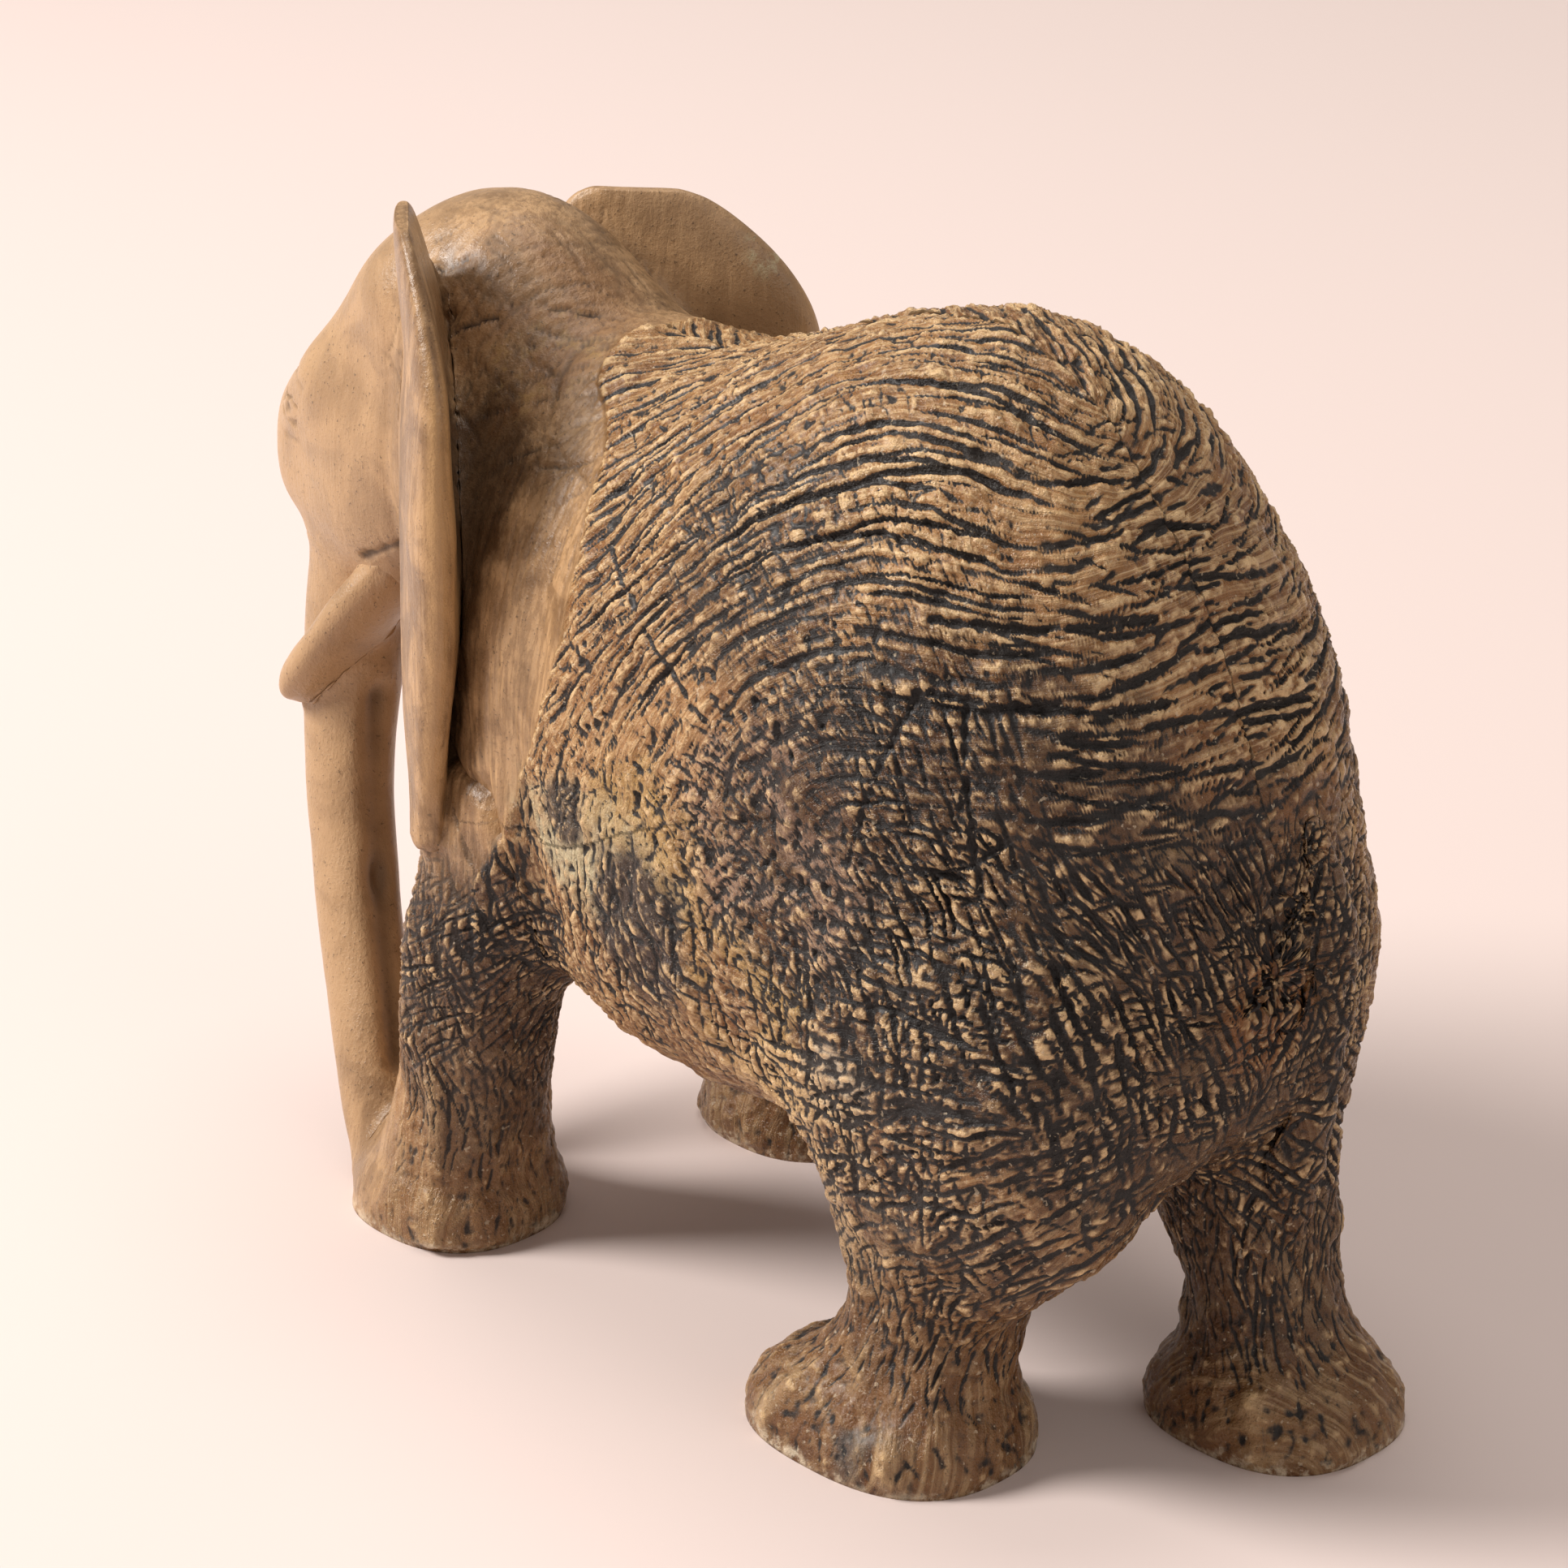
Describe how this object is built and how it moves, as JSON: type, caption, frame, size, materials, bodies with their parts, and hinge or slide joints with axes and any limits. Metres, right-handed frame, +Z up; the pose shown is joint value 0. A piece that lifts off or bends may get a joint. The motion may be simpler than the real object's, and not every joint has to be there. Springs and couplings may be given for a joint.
{
  "type": "carved elephant figurine",
  "caption": "Standing elephant carved from a single block of waxed stone: chisel-marked body, polished head, spread ears, lowered trunk and flared flat feet; a free-standing ornament.",
  "frame": {"origin": "middle of the bounding box, on the floor plane that the four soles share", "axes": "the face looks along -Y, +Z is up, the elephant's left side is +X and its tail is at +Y"},
  "size_m": [0.064, 0.143, 0.1122],
  "materials": {
    "carved_stone": "satin",
    "polished_stone": "satin"
  },
  "bodies": {
    "root": {"torso": "carved_stone", "neck": "polished_stone", "head": "polished_stone", "trunk": "polished_stone", "left_tusk": "polished_stone", "right_tusk": "polished_stone", "left_ear": "polished_stone", "right_ear": "polished_stone", "front_left_leg": "carved_stone", "front_right_leg": "carved_stone", "rear_left_leg": "carved_stone", "rear_right_leg": "carved_stone", "tail": "carved_stone"}
  },
  "joints": []
}
